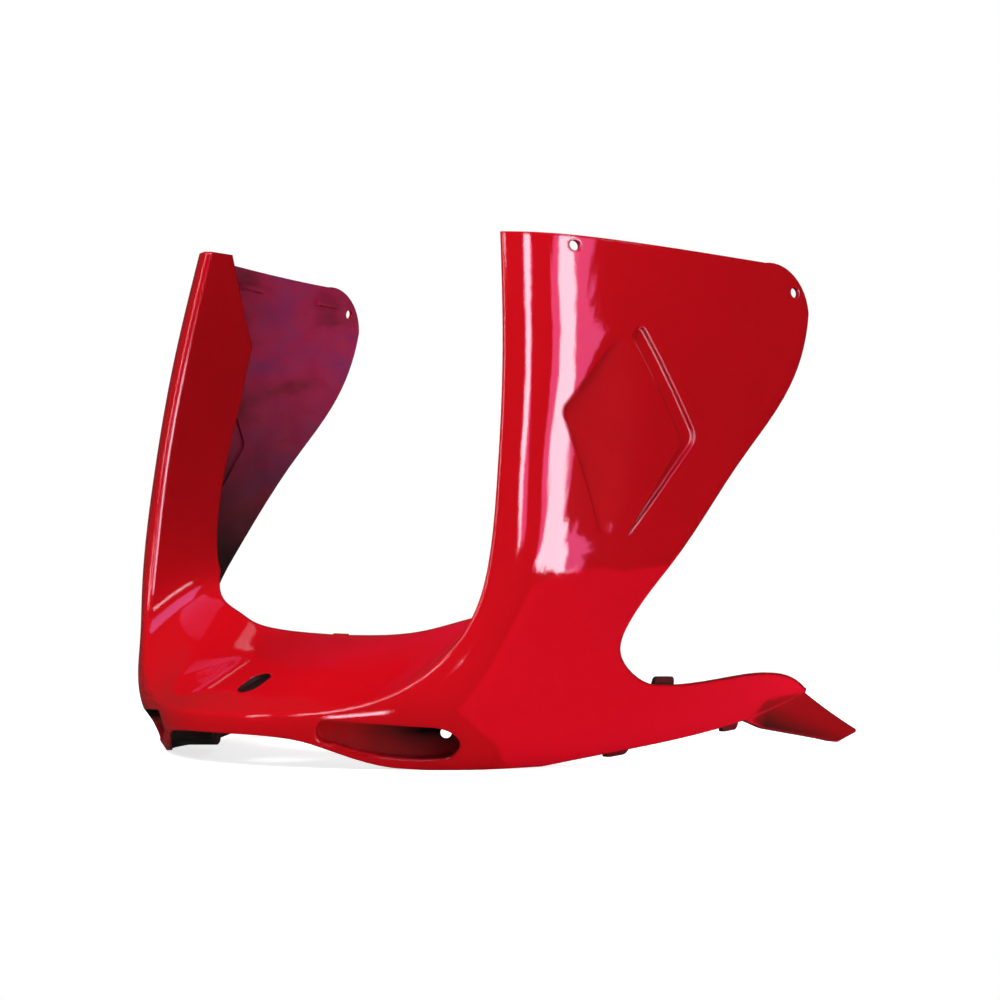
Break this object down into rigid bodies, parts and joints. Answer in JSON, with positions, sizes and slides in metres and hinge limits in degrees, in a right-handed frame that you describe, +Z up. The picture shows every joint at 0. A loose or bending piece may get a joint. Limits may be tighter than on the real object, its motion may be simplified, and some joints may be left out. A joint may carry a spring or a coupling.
{
  "type": "scooter inner front panel",
  "caption": "One-piece glossy moulded front panel for a scooter: two tall wings rise from a curved bowl with corner lamp pockets, and narrow tails run back below.",
  "frame": {"origin": "bottom centre of the panel's box, on the surface it stands on", "axes": "+X towards the left side of the vehicle, +Y from the front lip to the tails, +Z up"},
  "size_m": [0.4452, 0.4798, 0.3425],
  "materials": {
    "red_plastic": "glossy red paint"
  },
  "bodies": {
    "root": {"front_panel": "red_plastic"}
  },
  "joints": []
}
